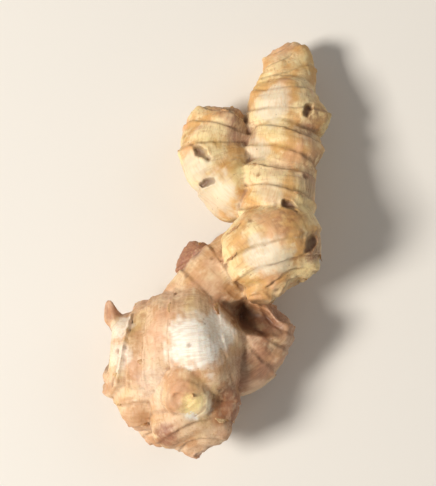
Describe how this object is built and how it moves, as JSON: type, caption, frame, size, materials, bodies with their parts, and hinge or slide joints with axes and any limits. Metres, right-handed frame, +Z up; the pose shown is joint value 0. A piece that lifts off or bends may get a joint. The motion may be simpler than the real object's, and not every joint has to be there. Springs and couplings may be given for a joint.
{
  "type": "ginger root",
  "caption": "Fresh ginger root lying on its side: a fat ringed old end, a narrow neck, a chain of swollen lobes and a side finger, with buds and scars.",
  "frame": {"origin": "on the surface that the root lies on, under the middle of its bounding box", "axes": "+Y along the root from the fat old end to the young tip, +X across it with the side finger on the -X side, +Z up from the surface"},
  "size_m": [0.067, 0.1236, 0.0354],
  "materials": {
    "ginger_skin": "thin dry papery skin, tan with paler rubbed places and browner rings, matt to satin"
  },
  "bodies": {
    "root": {"ginger_rhizome": "ginger_skin"}
  },
  "joints": []
}
